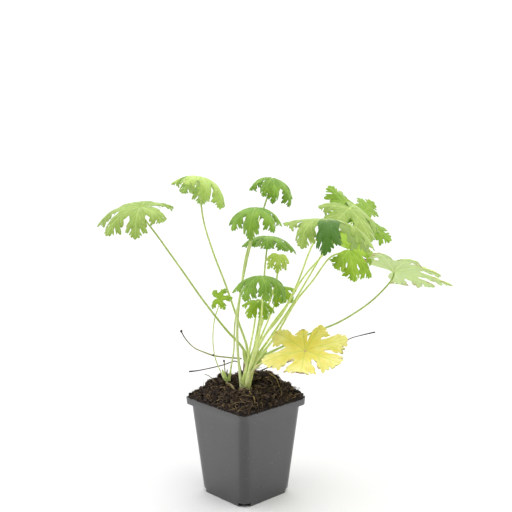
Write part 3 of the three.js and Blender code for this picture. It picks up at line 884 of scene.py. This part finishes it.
def buildPot():
    thick, slope = pot["thickness"], (pot["wallTop"] - pot["wallFoot"]) / potLedge
    corner, rim, foot, recess = pot["wallCorner"], pot["rimCorner"], pot["wallFoot"], pot["recess"]
    panel, skirt, skirtCorner = recess + thick, foot - pot["skirt"], corner - pot["skirt"]
    rimOut, rimIn, inner = pot["rimHalf"], pot["rimHalf"] - pot["rimTaper"], corner - thick
    profile = [             # half width, corner radius, height
        (0, 0, 0), (pot["footHalf"], pot["footCorner"], 0), (pot["footHalf"], pot["footCorner"], recess),
        (skirt, skirtCorner, recess), (skirt, skirtCorner, 0), (foot, corner, 0)]
    for k in range(1, 9):   # the wall
        z = potLedge * k / 8
        profile.append((foot + slope * z, corner, z))
    profile += [
        (rimIn, rim, potLedge), (rimOut, rim, pot["height"]), (rimOut - thick, rim - thick, pot["height"]),
        (rimIn - thick, rim - thick, potLedge + thick), (pot["wallTop"] - thick, inner, potLedge + thick),
        (foot - thick + slope * panel, inner, panel), (0, 0, panel)]
    rings = [np.column_stack([squareRound(half, radius, 8, 10), np.full(72, z)])
             for half, radius, z in profile]
    shell = rolledSheet("nursery_pot", np.array(rings) * mm)
    reach = (pot["notchReach"] + pot["notchDepth"] / 2) * mm
    for turn in np.radians((45, 135, 225, 315)):
        bpy.ops.mesh.primitive_cube_add(size=1)
        cutter = bpy.context.object
        cutter.scale = (pot["notchDepth"] * mm, pot["notchWidth"] * mm, (pot["notchHeight"] + 1) * mm)
        cutter.rotation_euler = (0, 0, turn)
        cutter.location = (reach * cos(turn), reach * sin(turn), (pot["notchHeight"] - 1) / 2 * mm)
        addModifier(shell, "BOOLEAN", operation="DIFFERENCE", solver="EXACT", object=cutter)
        applyModifiers(shell)
        removed(cutter)
    addModifier(shell, "BEVEL", width=pot["edge"] * mm, segments=3, limit_method="ANGLE",
                angle_limit=radians(35))
    applyModifiers(shell)
    rounded(shell, 30)
    shell.data.materials.append(potMaterial())
    finished(shell, ["pot"])


buildPot()
print("pot done")


# the soil: a mound with clods, then crumbs and fibres strewn over it

mound = {
    "peak": (0, 12), "rise": 20.5, "crown": (0, -8), "hollow": 9, "spread": 10,     # mm
    "rim": 43.1, "rimCorner": 5.4, "ledge": 94.7, "lip": 0.3, "edge": 4.6, "floor": 3.0,
    "bodyTop": 39.8, "bodyFoot": 31.6,
    "cells": 150,
    "clods": [(7.5, 5.4, 0), (3.4, 3.0, 40)],       # size, height, shift
    "grain": {"size": 2.0, "height": 1.1},
    "calm": (0.84, 0.85),       # from where, and by what share, the clods flatten towards the pot
    "humps": [((24, 12), 7.0, 12), ((-27, 8), 4.0, 8), ((8, -24), 2.0, 8)],        # where, height, spread
    "heaps": [((54, 1), 4.0, 9), ((-46, 2), 1.0, 8)],       # these reach over the rim
}
strewings = {           # how many, how long (mm), how far out; then what differs from the usual
    "crumbs": (1500, (0.5, 1.7), 1.0, {}),
    "bigCrumbs": (560, (1.3, 3.6), 0.95, {"sink": 0.4}),
    "shards": (420, (0.8, 2.1), 0.9, {"sink": 0.2, "upright": 0.5}),
    "onRim": (150, (0.4, 1.2), 0.97, {"sink": 0.35, "onRim": True}),
    "fibres": (1200, (3.0, 11.0), 0.97, {"sink": 0.4, "upright": 0.35}),
    "curls": (520, (2.5, 6.5), 0.93, {"sink": 0.35, "upright": 0.2}),
}
crumb = {"rough": 0.55, "shape": (1, 0.8, 0.65), "shard": (2.6, 0.6, 0.45)}


def moundAt(u, v):
    # the mound over the square -1..1, given in the pot's frame, in millimetres
    edge = np.maximum(np.abs(u), np.abs(v))
    x, y = u * mound["rim"], v * mound["rim"]
    corner = mound["rimCorner"] * edge
    inset = mound["rim"] * edge - corner
    ox, oy = np.abs(x) - inset, np.abs(y) - inset
    inCorner = (ox > 0) & (oy > 0) & (edge > 1e-6)
    off = np.where(inCorner, np.hypot(ox, oy), 1)
    x = np.where(inCorner, np.sign(x) * (inset + ox / off * corner), x)
    y = np.where(inCorner, np.sign(y) * (inset + oy / off * corner), y)
    px, py = turnedBy(plantTurn, *mound["peak"])
    x = x + px * (1 - edge)
    y = y + py * (1 - edge)
    across, away = turnedBy(-plantTurn, x, y)
    offCrown = np.hypot(across - mound["crown"][0], away - mound["crown"][1]) / mound["spread"]
    humps, heaps = (sum(height * np.exp(-((across - hx) ** 2 + (away - hy) ** 2) / 2 / spread ** 2)
                        for (hx, hy), height, spread in mound[kind]) for kind in ("humps", "heaps"))
    lumps = (np.sin(0.31 * across + 1.3) * np.cos(0.27 * away - 0.6)
             + 0.6 * np.sin(0.52 * across - 0.4 * away))
    z = (mound["ledge"] + mound["edge"] + mound["rise"] * (1 - edge ** 2)
         - mound["hollow"] * np.exp(-offCrown ** 2 / 2)
         + (lumps + humps) * (1 - edge ** 4) + heaps)
    return np.stack([x, y, z], -1), edge


def clods(co, edge):
    # lumps of a few sizes, low at the pot's wall
    lift = np.zeros(len(co))
    grain, (start, share) = mound["grain"], mound["calm"]
    for i, (x, y, z) in enumerate(co):
        for size, height, shift in mound["clods"]:
            lift[i] += height * (0.45 - noise.voronoi(Vector((x + shift, y, z)) / size)[0][0])
        lift[i] += grain["height"] * noise.fractal(Vector((x, y, z)) / grain["size"], 0.7, 2.1, 4)
    return lift * (1 - ease((edge - start) / 0.16) * share)


def soilMaterial(name, dark, light, gloss):
    mat, tree, shader = newMaterial(name)
    patches = speckle(tree, 260.0, 6.0, Roughness=0.7)
    # tint is random tone on the strewn bits and painted shade in the mound's hollows
    shade = maths("ADD", maths("MULTIPLY", carried(tree, "tint"), 0.7),
                  ranged(patches, 0.35, 0.7, 0.0, 0.45))
    tone = mixColour(ranged(shade, 0.15, 1.1), dark, light)
    surfaced(shader, tone, speckle(tree, 1300.0, 4.0), (0.7, 0.0005), patches, (0.95, gloss),
             {"Specular IOR Level": 0.3})
    return mat


def turned(rng, upright):
    # random axes for a small thing
    turn = Matrix.Rotation(rng.uniform(0, 2 * pi), 3, "Z")
    tilt = Matrix.Rotation(rng.normal(0, 1.0 - upright), 3, "X")
    roll = Matrix.Rotation(rng.uniform(0, 2 * pi), 3, "Z")
    return np.array(turn @ tilt @ roll).T


def crumbBase(detail, seed):
    bpy.ops.mesh.primitive_ico_sphere_add(subdivisions=detail, radius=1)
    ob = bpy.context.object
    co = points(ob.data)
    rough = np.array([noise.noise(Vector(p) * 1.7 + Vector((seed, 0, 0))) for p in co])
    setPoints(ob.data, co * (1 + crumb["rough"] * rough[:, None]) * crumb["shape"])
    return ob


def sliverBase(name, centres, outs, radius, thin):
    # a sliver with three sides along the centres, thin at its ends
    rings = []
    for k, (centre, out) in enumerate(zip(centres, outs)):
        r = radius * (thin + (1 - thin) * sin(pi * (k + 0.6) / (len(centres) + 0.2)))
        rings.append([centre + r * (out * cos(a) + np.array([0, 0, sin(a)]))
                      for a in (0, 2.1, 4.2)])
    ob = rolledSheet(name, np.array(rings))
    editOps(ob, lambda: bpy.ops.mesh.quads_convert_to_tris())
    return ob


def fibreBase():
    # bent, one unit long
    t = np.linspace(0, 1, 6)
    centres = np.stack([t - 0.5, 0.22 * np.sin(t * 3.6), 0.16 * np.sin(t * pi)], 1)
    return sliverBase("fibre", centres, np.array([(0, 1, 0)] * 6), 0.042, 0.35)


def curlBase():
    # most of a ring
    turns = np.linspace(0, 4.2, 9)
    outs = np.array([(cos(a), sin(a), 0) for a in turns])
    centres = [out * (0.42 + 0.06 * sin(2 * a)) + np.array([0, 0, 0.05 * k])
               for k, (a, out) in enumerate(zip(turns, outs))]
    return sliverBase("curl", centres, outs, 0.05, 0.3)


def strewOver(name, base, rng, count, size, spread, sink=0.3, upright=0.0, onRim=False):
    # one mesh of copies of the base, strewn over the mound
    uv = rng.uniform(-spread, spread, (count, 2))
    if onRim:
        rows, k = np.arange(count), rng.integers(0, 2, count)
        uv[rows, k] = np.sign(uv[rows, k]) * rng.uniform(0.985, 1.04, count)
    centres, edge = moundAt(uv[:, 0], uv[:, 1])
    loose = centres[:, 2] + clods(centres, np.minimum(edge, 1))
    sizes = size[0] * (size[1] / size[0]) ** (rng.uniform(0, 1, count) ** 1.6)
    centres[:, 2] = np.where(edge > 1, pot["height"], loose) + sizes * (0.5 - sink)
    tints = rng.uniform(0, 1, count) ** 1.5
    shape = points(base.data)
    faces = np.array([list(f.vertices) for f in base.data.polygons])
    co = np.concatenate([centre + shape @ (turned(rng, upright) * own)
                         for centre, own in zip(centres, sizes)])
    step = np.arange(count)[:, None, None] * len(shape)
    mesh = bpy.data.meshes.new(name)
    mesh.from_pydata(co, [], (faces[None] + step).reshape(-1, faces.shape[1]).tolist())
    setPoints(mesh, points(mesh) * mm)
    setValue(mesh, "tint", np.repeat(tints, len(shape)))
    return linked(bpy.data.objects.new(name, mesh))


def buildSoil():
    rng = np.random.default_rng(5)
    bpy.ops.mesh.primitive_grid_add(x_subdivisions=mound["cells"], y_subdivisions=mound["cells"], size=2)
    ground = bpy.context.object
    flat = points(ground.data)
    surface, edge = moundAt(flat[:, 0], flat[:, 1])
    lift = clods(surface, edge)
    surface[:, 2] += np.where(edge > 0.999, 0, lift)
    setPoints(ground.data, surface * mm)
    # painted shade: the tint follows the clods' lift, so the hollows between clods are darker and their tops
    # lighter
    setValue(ground.data, "tint", ease(0.5 + lift * 0.22) * 0.5)
    pick(ground)
    bpy.ops.object.mode_set(mode="EDIT")
    bpy.ops.mesh.select_all(action="DESELECT")
    bpy.ops.mesh.select_mode(type="EDGE")
    bpy.ops.mesh.select_non_manifold()
    last, z = mound["rim"], mound["ledge"] + mound["edge"]
    lip = mound["ledge"] + mound["lip"]
    for half, height in ((mound["rim"], lip), (mound["bodyTop"], lip), (mound["bodyTop"], mound["ledge"]),
                         (mound["bodyFoot"], mound["floor"])):
        bpy.ops.mesh.extrude_region_move(TRANSFORM_OT_translate={"value": (0, 0, (height - z) * mm)})
        bpy.ops.transform.resize(value=(half / last, half / last, 1), center_override=(0, 0, 0))
        last, z = half, height
    bpy.ops.mesh.edge_face_add()
    bpy.ops.mesh.select_mode(type="VERT")
    bpy.ops.mesh.select_all(action="SELECT")
    bpy.ops.mesh.normals_make_consistent(inside=False)
    bpy.ops.object.mode_set(mode="OBJECT")

    small = crumbBase(1, 3)
    shard = copied(small, "shard")
    setPoints(shard.data, points(small.data) * crumb["shard"])
    bases = {"crumbs": small, "bigCrumbs": crumbBase(2, 8), "shards": shard,
             "fibres": fibreBase(), "curls": curlBase()}
    loam = soilMaterial("loam", (7, 5, 5), (82, 64, 54), 0.7)
    bark = soilMaterial("bark", (58, 36, 22), (168, 144, 104), 0.6)
    ground.data.materials.append(loam)
    parts = [ground]
    for name, (count, size, spread, unusual) in strewings.items():
        bits = strewOver(name, bases.get(name, small), rng, count, size, spread, **unusual)
        bits.data.materials.append(bark if name in ("fibres", "curls") else loam)
        parts.append(bits)
    for base in bases.values():
        removed(base)
    soil = joined(parts, "compost")
    rounded(soil, 55)
    finished(soil, ["soil"])
    return surface


surface = buildSoil()
print("soil done")


# crowns, dead stalks and roots

stalks = [
    {"node": "dry_stalk_left", "name": "dead_stalk_left", "skin": "olive",
     "thickness": [0.9, 0.85, 0.8, 0.8, 0.85, 0.7, 0.65, 0.6, 0.6, 0.6],
     "knobs": [((-65.5, 11, 166.5), 1.35), ((-33, 7, 142.2), 1.1)],
     "route": [(-4, 5.6, 139), (-20, 5.6, 140.5), (-33, 7, 142), (-43, 9.5, 145), (-52, 10, 149),
               (-59, 11, 155.5), (-63.5, 11, 162), (-65.5, 11, 166.5)]},
    {"node": "dry_stalk_low", "name": "dead_stalk_low", "skin": "grey",
     "thickness": [0.7, 0.6, 0.6, 0.6, 0.6, 0.6, 0.6, 0.85],
     "route": [(-4, 13, 117), (-6, 12.5, 130), (-10, 12, 134.5), (-15, 12, 133.5), (-21, 11, 131.5),
               (-29, 10, 129.5), (-39, 9, 127.5), (-49, 9, 125.5), (-58, 9, 124.5)]},
    {"node": "dry_stalk_right", "name": "dead_stalk_right", "skin": "grey",
     "thickness": [0.7, 0.6, 0.55, 0.5, 0.55, 0.5, 0.5, 0.75],
     "route": [(12, 15, 118), (19, 15, 125), (33, 15, 129), (66, 15, 140), (87, 15, 147),
               (97, 15, 150.5), (103, 15, 154.5), (108, 15, 157.5), (120, 15, 161), (133, 15, 164)]},
    {"node": "old_stem", "name": "woody_stem", "slot": "old_stem", "skin": "wood",
     "thickness": [1.8, 1.6, 1.5, 1.3, 1.2], "route": [(-1, 5, 116), (-1.2, 4.5, 131), (-0.4, 5, 141.5)]},
    {"node": "stem_stub", "name": "cut_stub", "slot": "crown", "skin": "stub",
     "thickness": [1.2, 0.9, 0.7, 0.6, 0.55, 0.6], "knobs": [((-22, 4, 137), 1.2)],
     "route": [(-20.5, 5, 116), (-21.2, 5, 127), (-22, 4, 137.5)]},
    {"node": "dry_straw", "name": "straw", "skin": "tan",
     "thickness": [0.5, 0.5, 0.4], "route": [(-30, 3, 114), (-37, 4, 121), (-42, 5, 123)]},
]
roots = [
    {"node": "root_front", "name": "front_root", "thickness": [1.1, 0.8, 0.7, 0.45],
     "route": [(1, -17), (3, -22), (5, -28), (8, -34), (9, -40)]},
    {"node": "root_right", "name": "right_root", "thickness": [0.6, 0.6, 0.5, 0.3],
     "route": [(24, 8), (30, 4), (34, -3), (36, -10), (35, -17)]},
]
deadTones = {               # foot, middle, tip
    "olive": [(178, 184, 112), (160, 160, 92), (66, 56, 44)],
    "grey": [(104, 96, 84), (108, 98, 88), (66, 56, 52)],
    "wood": [(92, 56, 40), (132, 82, 60), (112, 74, 56)],
    "stub": [(188, 196, 130), (170, 174, 112), (78, 58, 40)],
    "tan": [(120, 102, 80), (136, 120, 98), (128, 112, 92)],
    "root": [(172, 152, 104), (150, 130, 84), (130, 108, 70)],
    "knob": [(60, 48, 38), (66, 54, 42), (52, 42, 34)],
}


def deadMaterial(name, tones):
    mat, tree, shader = newMaterial(name)
    foot, middle, tip = tones
    along, flecks = carried(tree, "along"), speckle(tree, 320.0, 5.0)
    tone = mixColour(ranged(along, 0.0, 0.45), foot, middle)
    tone = mixColour(ranged(along, 0.72, 0.97), tone, tip)
    tone = mixColour(ranged(flecks, 0.5, 0.68, 0.0, 0.55), tone, tuple(v * 0.6 for v in middle))
    surfaced(shader, tone, flecks, (0.6, 0.0003), flecks, (0.9, 0.7), {"Specular IOR Level": 0.3})
    return mat


def groundUnder(x, y):
    px, py = turnedBy(plantTurn, x, y)
    off = (surface[:, 0] - px) ** 2 + (surface[:, 1] - py) ** 2
    return surface[np.argsort(off)[:12], 2].max()


def onGround(route, lift):
    return [(x, y, groundUnder(x, y) + lift) for x, y in route]


def scalyKnob(name, centre, radii, detail, skin):
    bpy.ops.mesh.primitive_ico_sphere_add(subdivisions=detail, radius=1)
    knob = bpy.context.object
    co = points(knob.data)
    along = (co[:, 2] + 1) * 0.3
    scaly = np.array([noise.voronoi(Vector((p[0] * 3, p[1] * 3, p[2] * 1.4)))[0][0] for p in co])
    co = co * np.array(radii) * (1.04 - 0.16 * scaly[:, None]) + np.array(centre)
    setPoints(knob.data, toPot(co))
    setValue(knob.data, "along", along)
    rounded(knob)
    knob.data.materials.append(skin)
    knob.name = name
    return knob


def buildDeadParts():
    skins = {name: deadMaterial(f"{name}Dead", tones) for name, tones in deadTones.items()}
    for stalk in stalks:
        ob = rod(stalk["name"], stalk["route"], stalk["thickness"], sides=8, spacing=2.0)
        ob.data.materials.append(skins[stalk["skin"]])
        parts = [ob]
        for place, radius in stalk.get("knobs", []):
            parts.append(scalyKnob("knob", place, (radius, radius, radius * 1.2), 2, skins["knob"]))
        finished(joined(parts, stalk["name"]), [stalk["node"]])
    for root in roots:
        ob = rod(root["name"], onGround(root["route"], 0.3), root["thickness"], sides=8, spacing=1.5)
        ob.data.materials.append(skins["root"])
        finished(ob, [root["node"]])


sheaths = {                 # route, half width, skin
    "main": [
        ([(10, -12, 134), (15.5, -13, 143), (18, -12, 151)], 2.4, "green"),
        ([(6, -14, 137), (10.5, -14.5, 148.5), (13, -13.5, 156)], 2.3, "cream"),
        ([(10.5, -10, 138), (18, -10, 146), (21.5, -9, 151.5)], 1.8, "green"),
        ([(1.5, -12, 136), (-1.5, -11, 148), (-2.6, -10, 153.5)], 2.2, "cream"),
        ([(3, -14, 127), (6.5, -15, 140), (7.5, -14.5, 150)], 2.2, "green"),
        ([(-1.6, -13, 112), (-2.4, -13.5, 121), (-1.6, -13, 130)], 1.7, "cream"),
        ([(2.4, -13.5, 112), (4.4, -13.5, 121), (8.0, -12.5, 131)], 1.6, "cream"),
        ([(0.4, -14, 112), (1.2, -14.8, 119), (3.0, -14.6, 127)], 2.0, "cream"),
    ],
    "side": [
        ([(-19.5, -2, 116), (-21.8, -2, 124), (-24, -2, 130.5)], 1.7, "cream"),
        ([(-18.5, -2, 116), (-16, -2, 124), (-14.6, -1.5, 130.5)], 1.5, "cream"),
        ([(-19, -2.6, 116), (-20, -3, 122), (-19.4, -3, 127)], 1.5, "green"),
        ([(-19.4, -3, 121), (-19, -3.2, 127), (-18.2, -3, 131)], 0.9, "brown"),
    ],
}
sheathShape = [0.8, 1, 1, 0.9, 0.65, 0.15]      # half widths from foot to tip, as shares
fusedStem = {
    "route": [(0.4, -8, 110), (0.8, -8.5, 120), (3.8, -8.5, 131), (6.6, -8.5, 139), (7.8, -8.6, 147),
              (8.4, -9, 154)],
    "thickness": [2.6, 2.9, 3.5, 4.1, 4.0, 3.4, 1.0],
    "sides": 42, "spacing": 1.5, "ribs": 7, "ribDepth": 0.16,
}
hair = {"route": [(-6.5, -14.5, 121), (-3, -16.6, 117), (1, -17.4, 113.5)],
        "thickness": [0.22, 0.3, 0.25], "sides": 5}
stump = {"route": [(-19.5, -3), (-15, -7), (-11, -12)], "thickness": [1.6, 1.3, 1.2, 0.8]}
crownTones = {
    "green": ((206, 220, 144), (174, 198, 102), (148, 176, 82)),
    "cream": ((224, 230, 172), (196, 212, 124), (170, 190, 98)),
    "brown": ((110, 96, 58), (70, 58, 36), (52, 42, 30)),
    "stem": ((230, 237, 184), (206, 222, 138), (178, 200, 106)),
    "bark": ((150, 136, 92), (160, 146, 100), (112, 92, 62)),
}


def buildCrowns():
    skins = {name: stalkMaterial(f"{name}Crown", *tones) for name, tones in crownTones.items()}

    def extra(name, skin, route, thickness, **shape):
        ob = rod(name, route, thickness, **shape)
        ob.data.materials.append(skins[skin])
        return ob

    for name, crown in crowns.items():
        parts = [scalyKnob("knob", crown["centre"], crown["radii"], 5, skins["bark"])]
        for route, half, skin in sheaths[name]:
            parts.append(extra("sheath", skin, route, [half * share for share in sheathShape],
                               sides=10, spacing=1.5, flat=0.3))
        if name == "main":
            parts.append(extra("fusedStem", "stem", **fusedStem))
            parts.append(extra("hair", "brown", **hair))
        else:
            route = onGround(stump["route"], 0.4)
            parts.append(extra("stump", "bark", route, stump["thickness"], spacing=1.5))
        finished(joined(parts, f"{name}_crown"), [f"crown_{name}"])


buildDeadParts()
buildCrowns()
print("small parts done")
